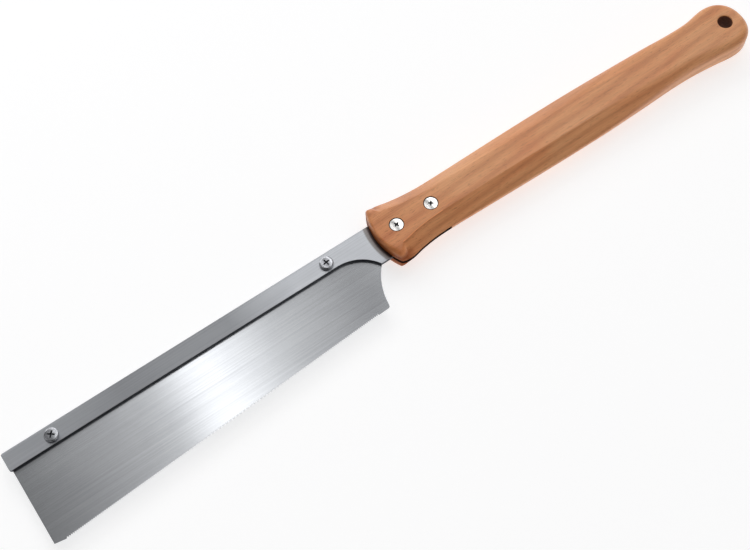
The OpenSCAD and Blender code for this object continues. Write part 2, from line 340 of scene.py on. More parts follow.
def half_rim(side):
    """Rows [rim point, face point, roundness, band] from the nose to the bulb."""
    rows = []
    for k in range(1, NOSE_STEPS + 1):
        y = NOSE_BASE_HALF * k / NOSE_STEPS
        a = math.radians(NOSE_FACE_ANGLE * k / NOSE_STEPS)
        rim = (NOSE_BASE_R - math.sqrt(NOSE_BASE_R ** 2 - y * y), y)
        face = (NOSE_FACE_X + NOSE_FACE_R * (1 - math.cos(a)), NOSE_FACE_R * math.sin(a))
        rows.append((rim, face, ROUND_NOSE, BAND_NOSE))
    # The corner is one smooth curve between the nose and the flare.
    (x0, y0), face0 = rows[-1][0], rows[-1][1]
    x1, y1 = GRIP[0][0], GRIP[0][side]
    knee = x0 + (y1 - y0) * y0 / math.sqrt(NOSE_BASE_R ** 2 - y0 * y0)
    face1 = (x1, y1 - bevel_width(x1))
    for i in range(1, CORNER_STEPS):
        k = i / CORNER_STEPS
        rim = (
            (1 - k) ** 2 * x0 + 2 * k * (1 - k) * knee + k * k * x1,
            (1 - k) ** 2 * y0 + (1 - (1 - k) ** 2) * y1,
        )
        face = (mix(face0[0], face1[0], k), mix(face0[1], face1[1], k))
        soft, band = mix(ROUND_NOSE, ROUND_GRIP, k), mix(BAND_NOSE, BAND_GRIP, k)
        rows.append((rim, face, soft, band))
    for i in range(GRIP_STEPS + 1):
        x = mix(GRIP[0][0], GRIP[-1][0], i / GRIP_STEPS)
        y = half_width(x, side)
        k = ease(x, *SECTION_ROUNDS)
        soft, band = mix(ROUND_GRIP, ROUND_BULB, k), mix(BAND_GRIP, BAND_BULB, k)
        rows.append(((x, y), (x, y - bevel_width(x)), soft, band))
    return rows


def tail_rim():
    """Rows around the end of the bulb, from the belly to the back edge."""
    start, back, belly = GRIP[-1]
    centre, half, length = (back - belly) / 2, (back + belly) / 2, HANDLE_L - start
    rows = []
    for k in range(1, TAIL_STEPS):
        a = -math.pi / 2 + math.pi * k / TAIL_STEPS
        c = math.copysign(abs(math.cos(a)) ** BULB_POWER, math.cos(a))
        s = math.copysign(abs(math.sin(a)) ** BULB_POWER, math.sin(a))
        rim = (start + length * c, centre + half * s)
        face = (start + (length - BEVEL_BULB) * c, centre + (half - BEVEL_BULB) * s)
        rows.append((rim, face, ROUND_BULB, BAND_BULB))
    return rows


def handle_rows():
    """All rows round the handle: nose, belly, bulb and back edge."""
    belly = [((r[0], -r[1]), (f[0], -f[1]), soft, band) for r, f, soft, band in half_rim(BELLY)]
    back = half_rim(BACK)[::-1]
    nose = [((0.0, 0.0), (NOSE_FACE_X, 0.0), ROUND_NOSE, BAND_NOSE)]
    return nose + belly + tail_rim() + back


def handle_blank():
    """The handle before anything is cut out of it."""
    rows = handle_rows()
    n = len(rows)
    # Level BEVEL_STEPS + 1 is a loop just inside the flat face, which keeps
    # the face flat and the ridge crisp.
    last = BEVEL_STEPS + 1
    rings = [(j, -1) for j in range(last, -1, -1)] + [(j, 1) for j in range(last + 1)]
    points = []
    for j, side in rings:
        a = math.pi / 2 * min(1, j / BEVEL_STEPS)
        for rim, face, soft, band in rows:
            inset = 1 - max(0.0, math.cos(a)) ** (2 / soft) if j < BEVEL_STEPS else 1.0
            inset += FACE_LOOP if j == last else 0.0
            rise = math.sin(a) ** (2 / soft)
            x = NOSE_X + mix(rim[0], face[0], inset)
            y = AXIS_Y + mix(rim[1], face[1], inset)
            points.append(at(x, y, MID_Z + side * mix(band, MID_Z, rise)))
    faces = []
    for j in range(len(rings) - 1):
        for i in range(n):
            k = (i + 1) % n
            faces.append((j * n + i, j * n + k, (j + 1) * n + k, (j + 1) * n + i))
    # The flat faces are ladders of rungs from the belly to the back edge.
    for base in (0, (len(rings) - 1) * n):
        for i in range(n // 2):
            rung = [base + i, base + i + 1, base + n - i - 1, base + (n - i) % n]
            faces.append(tuple(dict.fromkeys(rung)))
    return solid("handle_wood", points, faces)


def rounded_mouth(r, c):
    """Profile of a through hole whose mouths flare out in a small radius."""
    turns = [math.pi / 2 * k / 5 for k in range(6)]
    low = [(r + c - c * math.sin(t), c - c * math.cos(t)) for t in turns]
    high = [(radius, HANDLE_T - z) for radius, z in low[::-1]]
    under, over = [(0, -1), (r + c, -1)], [(r + c, HANDLE_T + 1), (0, HANDLE_T + 1)]
    return under + low + high + over


def screw_bore():
    """Profile of the bore for a handle screw, with a recess at each mouth."""
    low, high, over = RECESS_H, HANDLE_T - RECESS_H, HANDLE_T + 1
    return [(0, -1), (RECESS_R, -1), (RECESS_R, low), (SCREW_HOLE_R, low),
            (SCREW_HOLE_R, high), (RECESS_R, high), (RECESS_R, over), (0, over)]


def below_faces(z):
    """Whether a height lies between the two flat faces of the handle."""
    return SKIN < z < HANDLE_T - SKIN


def make_handle():
    """The handle, and the tests for the faces that take painted shade and a painted highlight."""
    handle = handle_blank()
    kerf_low, kerf_high = PLATE_Z - KERF_GAP, PLATE_TOP + KERF_GAP
    kerf = [(0, kerf_low), (KERF_R, kerf_low), (KERF_R, kerf_high), (0, kerf_high)]
    cutters = [revolve("kerf", kerf, KERF_END - KERF_R, AXIS_Y, steps=400)]
    screws = [bench_centre(screw) for screw in HANDLE_SCREWS]
    cutters += [revolve("recess", screw_bore(), x, y, steps=96) for x, y in screws]
    cutters.append(revolve("hanging", rounded_mouth(HANG_R, HANG_FLARE), HANG_X, HANG_Y, steps=96))
    carve(handle, cutters)
    shade(handle, HANDLE_SHARP)

    def cut_shade(x, y, z):
        """The walls of the kerf and of the screw recesses, which take painted shade."""
        in_kerf = (kerf_low - 0.01 < z < kerf_high + 0.01
                   and math.hypot(x - KERF_END + KERF_R, y - AXIS_Y) < KERF_R + SKIN)
        in_recess = any(math.hypot(x - u, y - v) < RECESS_R for u, v in screws)
        return in_kerf or in_recess and below_faces(z)

    def hole_shade(x, y, z):
        """The wall of the hanging hole, which takes painted shade."""
        return math.hypot(x - HANG_X, y - HANG_Y) < HANG_R + 0.02 and below_faces(z)

    def ridge_highlight(x, y, z):
        """A thin strip of the flat face along the belly side's ridge, which takes a painted
        highlight.
        """
        along = x - NOSE_X
        if not HIGHLIGHT_FROM < along < HIGHLIGHT_TO or z < HANDLE_T - SKIN:
            return False
        return 0 < y - AXIS_Y + half_width(along, BELLY) - bevel_width(along) < HIGHLIGHT_W

    return handle, near(cut_shade), near(hole_shade), near(ridge_highlight)


# ---------------------------------------------------------------- plate

SPINE_W, TANG_W, TANG_END, TANG_ROUND = 13, 27.3, 307.5, 8
FILLET_X, FILLET_R = 230.3, 27.6
FILLET_Y = -SPINE_W - FILLET_R
FILLET_A = math.degrees(math.asin((SPINE_W + FILLET_R - TANG_W) / FILLET_R))
TOE_CHAMFER, TOE_BACK_CHAMFER = 0.9, 1.35
EDGE_CHAMFER, EDGE_ROUND = 0.8, 0.12
PLATE_SHARP, PLATE_ROUNDED = 12, 30


def plate_outline():
    c = TOE_CHAMFER
    return (
        [(c, 0), (0, -TOE_BACK_CHAMFER), (0, c - SPINE_W), (c, -SPINE_W)]
        + arc(FILLET_X, FILLET_Y, FILLET_R, 90, FILLET_A, 48)
        + arc(TANG_END - TANG_ROUND, TANG_ROUND - TANG_W, TANG_ROUND, -90, 0, 16)
        + arc(TANG_END - TANG_ROUND, -TANG_ROUND, TANG_ROUND, 0, 90, 16)
    )


def edge_wedge(z, side):
    """Takes the chamfer off the back edge at one face of the plate."""
    c = EDGE_CHAMFER
    section = [(1, z + side), (1, z - side * (c + 1)), (-c - 1, z + side)]
    points = [at(x, y, h) for x in (-1, TANG_END + 1) for y, h in section]
    faces = [(0, 1, 2), (3, 5, 4), (0, 3, 4, 1), (1, 4, 5, 2), (2, 5, 3, 0)]
    return solid("wedge", points, faces)


def make_plate():
    """The plate, and the test for its side walls, which take painted shade."""
    plate = prism("steel_back_plate", plate_outline(), PLATE_Z, PLATE_TOP)
    cutters = [edge_wedge(PLATE_TOP, 1), edge_wedge(PLATE_Z, -1)]
    cutters += [hole(*bench_centre(screw), CLAMP_HOLE_R) for screw in CLAMP_SCREWS]
    cutters += [hole(*bench_centre(screw), SCREW_HOLE_R) for screw in HANDLE_SCREWS]
    carve(plate, cutters)
    soften(plate, EDGE_ROUND, PLATE_ROUNDED)
    lengthwise_uv(plate)
    shade(plate, PLATE_SHARP)

    def shaded_sides(face):
        """The side walls, apart from the back edge, which take painted shade."""
        return abs(face.normal.z) < 0.2 and (face.center.y - BACK_Y) / MM < -1.0

    return plate, shaded_sides


# ---------------------------------------------------------------- blade

TOE_X0, BLADE_TOP_Y = 1.4, -2
TOE_DEPTH, HEEL_DEPTH = 66.3, 54.6
TEETH_X, TOOTHED_L, PITCH, TOOTH_H = 9.5, 223.75, 1.25, 1.3
HEEL_X, HEEL_ROUND, HEEL_R = 242.55, 1.5, 46
TIP_BEVEL, BLADE_SHARP = 0.3, 20
# The toothless lead-in at the toe: how far short of the toe's depth it
# starts, how long it is, and how far short it ends.
LEAD_START, LEAD_L, LEAD_END = 1.4, 7.2, 0.1
# The chamfer of the corner that the plate hides.
HIDDEN_CORNER = 3


def tooth_line(x):
    return -TOE_DEPTH + (TOE_DEPTH - HEEL_DEPTH) * (x - TEETH_X) / TOOTHED_L


def arc_between(p, q, r, n):
    """Points from p to q on an arc of radius r centred to the right."""
    dx, dy = q[0] - p[0], q[1] - p[1]
    span = math.hypot(dx, dy)
    rise = math.sqrt(r * r - span * span / 4) / span
    cx, cy = (p[0] + q[0]) / 2 + dy * rise, (p[1] + q[1]) / 2 - dx * rise
    a = math.degrees(math.atan2(p[1] - cy, p[0] - cx))
    b = math.degrees(math.atan2(q[1] - cy, q[0] - cx))
    return arc(cx, cy, r, a, b - 360 * round((b - a) / 360), n)


def blade_outline(face):
    """The outline at one face; face is 1 for the front and 0 for the rear.
    Every tooth is filed back on alternate faces, so its tip is a point."""
    heel_y = tooth_line(HEEL_X)
    corner = (FILLET_X + FILLET_R * math.cos(math.radians(FILLET_A)), -TANG_W)
    outline = [(TOE_X0, BLADE_TOP_Y), (TOE_X0, LEAD_START - TOE_DEPTH),
               (TOE_X0 + LEAD_L, LEAD_END - TOE_DEPTH)]
    for i in range(round(TOOTHED_L / PITCH) + 1):
        x = TEETH_X + i * PITCH
        outline.append((x, tooth_line(x) + TOOTH_H))
        back = TIP_BEVEL if (i + face) % 2 else 0.0
        outline.append((x + PITCH * 0.5, tooth_line(x + PITCH / 2) + back))
    outline += [(HEEL_X - HEEL_ROUND, heel_y)]
    outline += arc(HEEL_X - HEEL_ROUND, heel_y + HEEL_ROUND, HEEL_ROUND, -70, -5, 6)
    outline += arc_between((HEEL_X + 0.2, heel_y + HEEL_ROUND + 0.4), corner, HEEL_R, 40)
    c = HIDDEN_CORNER
    outline += [(corner[0], BLADE_TOP_Y - c), (corner[0] - c, BLADE_TOP_Y)]
    return outline


def make_blade():
    front, rear = blade_outline(1), blade_outline(0)
    n = len(front)
    points = [at(x, y, BLADE_Z) for x, y in rear] + [at(x, y, BLADE_TOP) for x, y in front]
    faces = [tuple(range(n)), tuple(range(2 * n - 1, n - 1, -1))]
    faces += [(i, n + i, n + (i + 1) % n, (i + 1) % n) for i in range(n)]
    blade = solid("steel_blade", points, faces)
    carve(blade, [hole(*bench_centre(screw), CLAMP_HOLE_R) for screw in CLAMP_SCREWS])
    lengthwise_uv(blade)
    shade(blade, BLADE_SHARP)
    return blade


# ---------------------------------------------------------------- fasteners

CLAMP_R, PAN_R, PAN_H, PAN_EDGE = 2.5, 4.6, 2.4, 1.05
SCREW_R, FLUSH_R, FLUSH_H, FLUSH_CROWN = 2.0, 4.4, 2.0, 0.3
WASHER_R, NUT_FLATS = 5.0, 8.0
FASTENER_SHARP = 32
THREAD_PITCH, THREAD_DEPTH = 0.7, 0.28
# Span and width of each cross recess, its depth, and the radius within which
# its faces take the painted shade.
PAN_CROSS, PAN_CROSS_H, PAN_CROSS_R = (5.3, 1.25), 1.7, 2.6
FLUSH_CROSS, FLUSH_CROSS_H, FLUSH_CROSS_R = (4.1, 1.35), 1.6, 2.1
CROSS_TAPER = 0.5


def cross(span, width):
    """Outline of a cross recess with slightly flared wings."""
    a, b, tip = span / 2, width / 2, width / 2 * 0.8
    wing = [(b, b), (a, tip), (a, -tip), (b, -b)]
    outline = []
    for k in range(4):
        c, s = round(math.cos(-k * math.pi / 2)), round(math.sin(-k * math.pi / 2))
        outline += [(x * c - y * s, x * s + y * c) for x, y in wing[:3]]
    return outline


def threaded(r, low, high):
    """Profile points up the side of a thread of radius r, from low to high."""
    turns = int((high - low) / THREAD_PITCH)
    side = [(r - 0.4, low), (r - 0.02, low + 0.4)]
    for k in range(1, turns):
        z = low + k * THREAD_PITCH
        side += [(r - THREAD_DEPTH, z), (r - 0.02, z + THREAD_PITCH / 2)]
    return side + [(r - THREAD_DEPTH, high)]


def cross_cutter(size, depth, crown, x, y, turn):
    return prism("cross", cross(*size), crown - depth, crown + 0.5, x, y, turn, CROSS_TAPER)


def in_cross(x, y, r, crown):
    """The test for the walls and floor of a cross recess, which take painted shade."""
    return near(lambda u, v, z: math.hypot(u - x, v - y) < r and crown - 1.75 < z < crown - 0.2)


def make_pan_screw(node, name, turn):
    """Domed head on the plate, shank through the blade, tail past the nut."""
    x, y = bench_centre(node)
    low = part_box(node)[0].z / MM
    crown = PLATE_TOP + PAN_H
    head = [(PAN_R - 0.12, PLATE_TOP), (PAN_R, PLATE_TOP + 0.12)]
    head += arc(PAN_R - PAN_EDGE, crown - PAN_EDGE - 0.12, PAN_EDGE, 0, 84, 12)
    head += [(2.4, crown - 0.03)]
    shank = threaded(CLAMP_R, low, PLATE_Z) + [(CLAMP_R, PLATE_Z), (CLAMP_R, PLATE_TOP)]
    screw = revolve(name, [(0, low)] + shank + head + [(0, crown)], x, y, FASTENER_STEPS)
    carve(screw, [cross_cutter(PAN_CROSS, PAN_CROSS_H, crown, x, y, turn)])
    shade(screw, FASTENER_SHARP)
    return screw, in_cross(x, y, PAN_CROSS_R, crown)


def make_flush_screw(node, name, turn):
    """Slightly crowned head in the recess, shank down into the sleeve nut."""
    x, y = bench_centre(node)
    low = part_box(node)[0].z / MM
    top, under = HANDLE_T, HANDLE_T - FLUSH_H
    neck, rim = under - 1.0, top - FLUSH_CROWN
    shank = threaded(SCREW_R, low, neck) + [(SCREW_R, neck), (SCREW_R, under)]
    head = [(FLUSH_R - 0.1, under), (FLUSH_R, under + 0.1),
            (FLUSH_R, rim - 0.12), (FLUSH_R - 0.1, rim)]
    head += [(FLUSH_R * k, top - FLUSH_CROWN * k * k) for k in (0.8, 0.6, 0.4, 0.2)]
    screw = revolve(name, [(0, low)] + shank + head + [(0, top)], x, y, FASTENER_STEPS)
    carve(screw, [cross_cutter(FLUSH_CROSS, FLUSH_CROSS_H, top, x, y, turn)])
    shade(screw, FASTENER_SHARP)
    return screw, in_cross(x, y, FLUSH_CROSS_R, top)


def make_sleeve_nut(node, name, turn):
    """Slotted head at the rear face, bored barrel up towards the screw."""
    x, y = bench_centre(node)
    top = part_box(node)[1].z / MM
    head = [(0, 0), (FLUSH_R - 0.6, 0.02), (FLUSH_R - 0.3, 0.1), (FLUSH_R, 0.45)]
    barrel = [(FLUSH_R, FLUSH_H), (2.8, FLUSH_H), (2.8, top - 0.2), (2.6, top)]
    bore = [(SCREW_R + 0.25, top), (SCREW_R + 0.03, top - 0.3), (SCREW_R + 0.03, 4), (0, 4)]
    nut = revolve(name, head + barrel + bore, x, y, FASTENER_STEPS)
    slot = [(-6, -0.6), (6, -0.6), (6, 0.6), (-6, 0.6)]
    carve(nut, [prism("slot", slot, -1, 1.0, x, y, turn)])
    shade(nut, FASTENER_SHARP)
    # The slot's floor and the top of its walls take painted shade.
    return nut, near(lambda u, v, z: 0.5 < z < 1.01 and math.hypot(u - x, v - y) < FLUSH_R)


def make_washer(node, name):
    """Flat ring with its four edges broken."""
    x, y = bench_centre(node)
    low, high = (corner.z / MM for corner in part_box(node))
    c, bore = 0.15, CLAMP_R + 0.15
    ring = [(bore, low + c), (bore + c, low), (WASHER_R - c, low), (WASHER_R, low + c),
            (WASHER_R, high - c), (WASHER_R - c, high), (bore + c, high), (bore, high - c)]
    washer = ring_solid(name, ring, x, y)
    shade(washer, FASTENER_SHARP)
    return washer


def make_nut(node, name, turn):
    """Hexagon whose corners are turned off to a shallow cone at both faces."""
    x, y = bench_centre(node)
    low, high = (corner.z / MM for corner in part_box(node))
    corner = NUT_FLATS / 2 / math.cos(math.pi / 6)
    turns = [k * math.pi / 3 for k in range(6)]
    hexagon = [(corner * math.cos(t), corner * math.sin(t)) for t in turns]
    nut = prism(name, hexagon, low, high, x, y, turn)
    far, c = corner + 1, (corner + 1 - NUT_FLATS / 2) * 0.55
    ring = [(NUT_FLATS / 2, low - 0.01), (far, low - 0.01), (far, low + c)]
    cutters = [ring_solid("cone", ring, x, y)]
    ring = [(NUT_FLATS / 2, high + 0.01), (far, high - c), (far, high + 0.01)]
    cutters.append(ring_solid("cone", ring, x, y))
    r = CLAMP_R + 0.02
    mouth = [(0, low - 1), (r + 0.3, low - 1), (r + 0.3, low + 0.001), (r, low + 0.3),
             (r, high - 0.3), (r + 0.3, high - 0.001), (r + 0.3, high + 1), (0, high + 1)]
    cutters.append(revolve("bore", mouth, x, y, FASTENER_STEPS))
    carve(nut, cutters)
    shade(nut, FASTENER_SHARP)
    return nut


# ---------------------------------------------------------------- materials

def add(tree, kind, settings=None, **inputs):
    """Adds a shader node. Each input is a value or another node's output,
    and one whose name is an underscore and a number goes by that number."""
    made = tree.nodes.new("ShaderNode" + kind)
    for key, value in (settings or {}).items():
        setattr(made, key, value)
    for key, value in inputs.items():
        place = int(key[1:]) if key[0] == "_" else key.replace("_", " ")
        socket = made.inputs[place]
        if isinstance(value, bpy.types.NodeSocket):
            tree.links.new(value, socket)
        else:
            socket.default_value = value
    return made


def new_material(name, **values):
    """A node material whose constant values sit on the shader's own sockets."""
    paint = bpy.data.materials.new(name)
    paint.use_nodes = True
    tree = paint.node_tree
    shader = tree.nodes["Principled BSDF"]
    for key, value in values.items():
        shader.inputs[key.replace("_", " ")].default_value = value
    return paint, tree, shader


def wire(tree, shader, **inputs):
    """Links other nodes' outputs to the shader's inputs."""
    for key, value in inputs.items():
        tree.links.new(value, shader.inputs[key.replace("_", " ")])


def calc(tree, operation, *values):
    """A number worked out from one or two others."""
    inputs = {f"_{k}": value for k, value in enumerate(values)}
    return add(tree, "Math", {"operation": operation}, **inputs).outputs["Value"]


def noise(tree, spot, scale, detail, distortion=0.0, shift=(0, 0, 0)):
    """Noise; scale is about how often it repeats in a metre on each axis."""
    place = add(tree, "Mapping", Vector=spot, Scale=scale, Location=shift)
    made = add(tree, "TexNoise", Vector=place.outputs["Vector"], Scale=1.0, Detail=detail,
               Distortion=distortion)
    return made.outputs["Fac"]


def ramp(tree, value, stops):
    """A colour ramp; stops are (position, colour)."""
    made = add(tree, "ValToRGB", Fac=value)
    band = made.color_ramp
    while len(band.elements) < len(stops):
        band.elements.new(0.5)
    for element, (place, colour) in zip(band.elements, stops):
        element.position = place
        element.color = (*colour, 1)
    return made.outputs["Color"]


def grey_ramp(tree, value, stops):
    """A ramp of greys; stops are (position, level)."""
    return ramp(tree, value, [(place, (level,) * 3) for place, level in stops])


def spread(tree, value, low, high, out_low=0.0, out_high=1.0):
    """Maps a value from low..high to out_low..out_high and holds it there."""
    made = add(tree, "MapRange", Value=value, From_Min=low, From_Max=high,
               To_Min=out_low, To_Max=out_high)
    return made.outputs["Result"]


def multiply(tree, k, a, b):
    """Colour a multiplied by colour b, as far as k."""
    made = add(tree, "MixRGB", {"blend_type": "MULTIPLY"}, Fac=k, Color1=a, Color2=b)
    return made.outputs["Color"]


def bump(tree, shader, height, distance):
    made = add(tree, "Bump", Height=height, Distance=distance, Strength=1.0)
    wire(tree, shader, Normal=made.outputs["Normal"])


def past_nose(tree, spot, width):
    """Rises from 0 at the arc of the nose to 1 at this width outside it."""
    centre = at(NOSE_X + NOSE_BASE_R, AXIS_Y, 0)
    flat = add(tree, "Mapping", Vector=spot, Location=(-centre.x, -centre.y, 0), Scale=(1, 1, 0))
    reach = add(tree, "VectorMath", {"operation": "LENGTH"}, _0=flat.outputs["Vector"])
    r = NOSE_BASE_R * MM
    return spread(tree, reach.outputs["Value"], r, r + width)


# The pith's place and lean against the handle, and the growth rings round it,
# much longer along the handle than across it.
PITH_SHIFT, PITH_LEAN = (0, 0.045, 0.075), (0, math.radians(2.2), math.radians(-1.6))
RING_SCALE = (9, 75, 75)
# Metres in x over which the lacquer thins and the painted sheen comes in, and in x
# and in height over which the painted shade on the rim of the nose fades out.
LACQUER_AND_SHEEN_X, RIM_SHADE_X, RIM_SHADE_H = (-0.02, 0.06), (-0.0105, -0.004), (0.0045, 0.0072)


def wood(name, gain):
    """Lacquered wood; gain above 1 lightens it into a painted highlight."""
    paint, tree, shader = new_material(name, Coat_Roughness=0.22, IOR=1.48)
    spot = add(tree, "TexCoord").outputs["Object"]
    place = add(tree, "SeparateXYZ", Vector=spot).outputs
    # Growth rings about a pith that lies outside the handle.
    lean = add(tree, "Mapping", Vector=spot, Location=PITH_SHIFT, Rotation=PITH_LEAN)
    squeeze = add(tree, "Mapping", Vector=lean.outputs["Vector"], Scale=RING_SCALE)
    rings = add(tree, "TexWave",
                {"wave_type": "RINGS", "rings_direction": "X", "wave_profile": "SIN"},
                Vector=squeeze.outputs["Vector"], Scale=0.8, Distortion=9.0, Detail=2.5,
                Detail_Scale=0.4, Detail_Roughness=0.5)
    grain = ramp(tree, rings.outputs["Fac"], [
        (0.0, (0.76, 0.302, 0.113)), (0.35, (0.84, 0.355, 0.140)), (1.0, (0.90, 0.400, 0.163)),
    ])
    # Broad mottling, redder and yellower patches along the stick.
    patches = ramp(tree, noise(tree, spot, (14, 60, 60), 3.0, 0.6), [
        (0.32, (0.94, 0.80, 0.70)), (0.5, (1.0, 0.98, 0.95)), (0.68, (1.03, 1.08, 1.12)),
    ])
    colour = multiply(tree, 0.85, grain, patches)
    colour = multiply(tree, 1.0, colour, (gain, gain, gain, 1))
    # Fibres and the short dark flecks of the rays.
    fibre = noise(tree, spot, (45, 1300, 1300), 3.0)
    colour = multiply(tree, 1.0, colour, ramp(tree, fibre, [
        (0.3, (0.89, 0.86, 0.83)), (0.6, (1.03, 1.03, 1.03)),
    ]))
    fleck = noise(tree, spot, (260, 2600, 2600), 1.0, shift=(3, 7, 1))
    colour = multiply(tree, 1.0, colour, ramp(tree, fleck, [
        (0.30, (0.74, 0.65, 0.59)), (0.37, (1.0, 1.0, 1.0)),
    ]))
    # The lacquer is thicker and redder towards the nose; further back the face is paler, a painted
    # sheen.
    colour = multiply(tree, 1.0, colour, ramp(tree, spread(tree, place["X"], *LACQUER_AND_SHEEN_X), [
        (0.0, (0.94, 0.80, 0.68)), (0.3, (0.97, 0.90, 0.84)), (0.8, (1.04, 1.06, 1.08)),
    ]))
    # The rim round the nose is darkened as painted shade, and made matt.
    front = spread(tree, place["X"], *RIM_SHADE_X, 1.0, 0.0)
    level = calc(tree, "ABSOLUTE", calc(tree, "SUBTRACT", place["Z"], MID_Z * MM))
    rim = calc(tree, "MULTIPLY", front, spread(tree, level, *RIM_SHADE_H, 1.0, 0.0))
    colour = multiply(tree, rim, colour, (0.50, 0.40, 0.38, 1))
    wire(tree, shader, Base_Color=colour,
         Coat_Weight=spread(tree, rim, 0, 1, 0.25, 0.0),
         Specular_IOR_Level=spread(tree, rim, 0, 1, 0.5, 0.06),
         Roughness=spread(tree, fibre, 0.3, 0.7, 0.50, 0.38))
    bump(tree, shader, calc(tree, "ADD", fibre, fleck), 0.00004)
    return paint


# Metres in x that the plate's painted reflection is spread over, and the width
# of the band of painted shade on its tang.
SPINE_X, SHADE_BAND_W = (-0.28, 0.0), 0.006


def ground_steel(name, tone, rough, swing, depth, fine, anisotropy, reflection_tone=1.0):
    """Steel ground lengthwise: streaks in its tone, gloss and relief. There
    are about fine streaks in a metre across the saw. Its last tone, below 1, makes it
    the plate, darkened by painted reflection and painted shade in places."""
    paint, tree, shader = new_material(name, Metallic=1.0, Anisotropic=anisotropy)
    spot = add(tree, "TexCoord").outputs["Object"]
    lines = noise(tree, spot, (9, fine, fine), 4.0)
    scratches = noise(tree, spot, (3, fine * 3, fine * 3), 2.0, shift=(5, 2, 9))
    dark = tuple(0.86 * c for c in tone)
    colour = ramp(tree, lines, [(0.3, dark), (0.7, tone)])
    wear = ramp(tree, noise(tree, spot, (30, 45, 45), 5.0, 0.4), [
        (0.35, (0.9, 0.9, 0.91)), (0.6, (1.0, 1.0, 1.0)),
    ])
    colour = multiply(tree, 0.6, colour, wear)
    if reflection_tone < 1:
        # Painted reflection: the colour is darkened along the middle of the spine, standing in for
        # a darker reflection there.
        along = spread(tree, add(tree, "SeparateXYZ", Vector=spot).outputs["X"], *SPINE_X)
        colour = multiply(tree, 1.0, colour, grey_ramp(tree, along, [
            (0.0, 1.0), (0.28, reflection_tone), (0.55, reflection_tone), (0.72, 1.0), (1.0, 0.92),
        ]))
        # Painted shade and reflection: a dark band on the tang beside the nose stands in for the
        # nose's contact shade and its reflection in the steel.
        nose_shade_band = ramp(tree, past_nose(tree, spot, SHADE_BAND_W), [
            (0.0, (0.10, 0.07, 0.06)), (0.22, (0.16, 0.12, 0.11)), (0.36, (0.45, 0.40, 0.37)),
            (0.62, (0.52, 0.48, 0.45)), (0.78, (1.0, 1.0, 1.0)),
        ])
        colour = multiply(tree, 1.0, colour, nose_shade_band)
    tangent = add(tree, "Tangent", {"direction_type": "UV_MAP", "uv_map": "grind"})
    wire(tree, shader, Base_Color=colour, Tangent=tangent.outputs["Tangent"],
         Roughness=spread(tree, scratches, 0.3, 0.7, rough - swing, rough + swing))
    bump(tree, shader, calc(tree, "ADD", lines, scratches), depth)
    return paint


def cut_wall_shade(name, dark, light):
    """Painted shade on sawn and drilled walls: short fibres between a dark and a light tone."""
    paint, tree, shader = new_material(name)
    spot = add(tree, "TexCoord").outputs["Object"]
    fibre = noise(tree, spot, (300, 1500, 1500), 3.0)
    wire(tree, shader, Base_Color=ramp(tree, fibre, [(0.3, dark), (0.7, light)]),
         Roughness=spread(tree, fibre, 0.3, 0.7, 0.65, 0.85))
    bump(tree, shader, fibre, 0.0001)
    return paint


def plated(name, tone, rough):
    """Plated hardware: dull patches, and turning marks round the head."""
    paint, tree, shader = new_material(name, Metallic=1.0)
    coords = add(tree, "TexCoord").outputs
    patches = noise(tree, coords["Object"], (900, 900, 900), 3.0)
    dark = tuple(0.8 * c for c in tone)
    wire(tree, shader, Base_Color=ramp(tree, patches, [(0.35, dark), (0.6, tone)]),
         Roughness=spread(tree, patches, 0.3, 0.7, rough * 1.35, rough * 0.75))
    centred = add(tree, "Mapping", Vector=coords["Generated"], Location=(-0.5, -0.5, 0))
    rings = add(tree, "TexWave", {"wave_type": "RINGS", "rings_direction": "Z"},
                Vector=centred.outputs["Vector"], Scale=6.0, Distortion=0.4, Detail=1.0)
    bump(tree, shader, rings.outputs["Fac"], 0.000006)
    return paint


# ---------------------------------------------------------------- stage

# Brightness of the studio dome against the x part of the direction: a narrow
# bright band for the middle of the blade, and a wide one towards the handle.
DOME = [
    (-0.40, 0.35), (-0.15, 0.20), (-0.104, 0.25), (-0.05, 0.47), (0.004, 0.72), (0.028, 0.86),
    (0.042, 1.70), (0.055, 2.10), (0.076, 2.05), (0.090, 1.55), (0.111, 1.20), (0.13, 0.86),
    (0.17, 0.66), (0.21, 0.36), (0.26, 0.75), (0.32, 2.05), (0.45, 2.05), (0.56, 1.0), (0.80, 0.8),
]
DOME_TOP = 2.1
# What it is multiplied by against the y part, from -1 at 0 to 1 at 1: dimmer
# behind the camera and low down on the far side.
DOME_DEPTH = [(0.0, 0.22), (0.42, 0.42), (0.58, 1.0), (0.72, 1.06), (0.83, 0.5), (1.0, 0.28)]
KEY_PLACE, KEY_SIZE, KEY_RADIANCE = (0.1, 1.5, 1.1), (1.8, 0.8), 2.0
FLOOR_HALF, FLOOR_DROP = 4.0, 0.0002


def set_world():
    world = bpy.data.worlds.new("studio")
    bpy.context.scene.world = world
    world.use_nodes = True
    tree = world.node_tree
    background = tree.nodes["Background"]
    toward = add(tree, "SeparateXYZ", Vector=add(tree, "TexCoord").outputs["Generated"]).outputs
    first, last = DOME[0][0], DOME[-1][0]
    dome = grey_ramp(tree, spread(tree, toward["X"], first, last),
                     [((x - first) / (last - first), v / DOME_TOP) for x, v in DOME])
    depth = grey_ramp(tree, spread(tree, toward["Y"], -1.0, 1.0), DOME_DEPTH)
    wire(tree, background, Color=multiply(tree, 1.0, dome, depth))
    background.inputs["Strength"].default_value = DOME_TOP


def make_key_light():
    """A soft panel beyond the back edge, turned towards the saw."""
    data = bpy.data.lights.new("key", "AREA")
    data.shape = "RECTANGLE"
    data.size, data.size_y = KEY_SIZE
    # Cycles spreads a lamp's power over its area and the half sphere.
    data.energy = KEY_RADIANCE * KEY_SIZE[0] * KEY_SIZE[1] * math.pi
    lamp = bpy.data.objects.new("key", data)
    turn = Vector(KEY_PLACE).to_track_quat("Z", "Y").to_matrix().to_4x4()
    lamp.matrix_world = Matrix.Translation(KEY_PLACE) @ turn
    bpy.context.scene.collection.objects.link(lamp)


